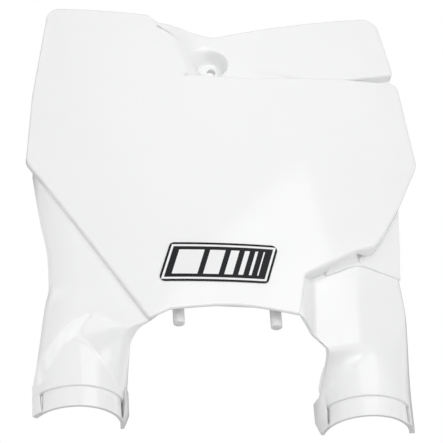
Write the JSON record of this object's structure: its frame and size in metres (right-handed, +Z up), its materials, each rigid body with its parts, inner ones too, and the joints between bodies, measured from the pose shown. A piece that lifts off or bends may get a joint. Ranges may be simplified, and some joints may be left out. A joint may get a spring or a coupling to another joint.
{
  "type": "racing number board",
  "caption": "White moulded front number board of a motocross bike: bowed board, raised wing, two legs ending in fork cups with strap slots, locating pegs, bolt pocket and a plain sport decal.",
  "frame": {"origin": "centre of the top bolt hole, on the face that the bolt head meets", "axes": "+Z up along the fork tubes, +Y back towards the forks, +X to the viewer's right of the board's front"},
  "size_m": [0.2942, 0.0575, 0.3498],
  "materials": {
    "white_plastic": "smooth gloss moulding",
    "vinyl": "printed gloss vinyl"
  },
  "bodies": {
    "root": {"number_board": "white_plastic", "decal": "vinyl"}
  },
  "joints": []
}
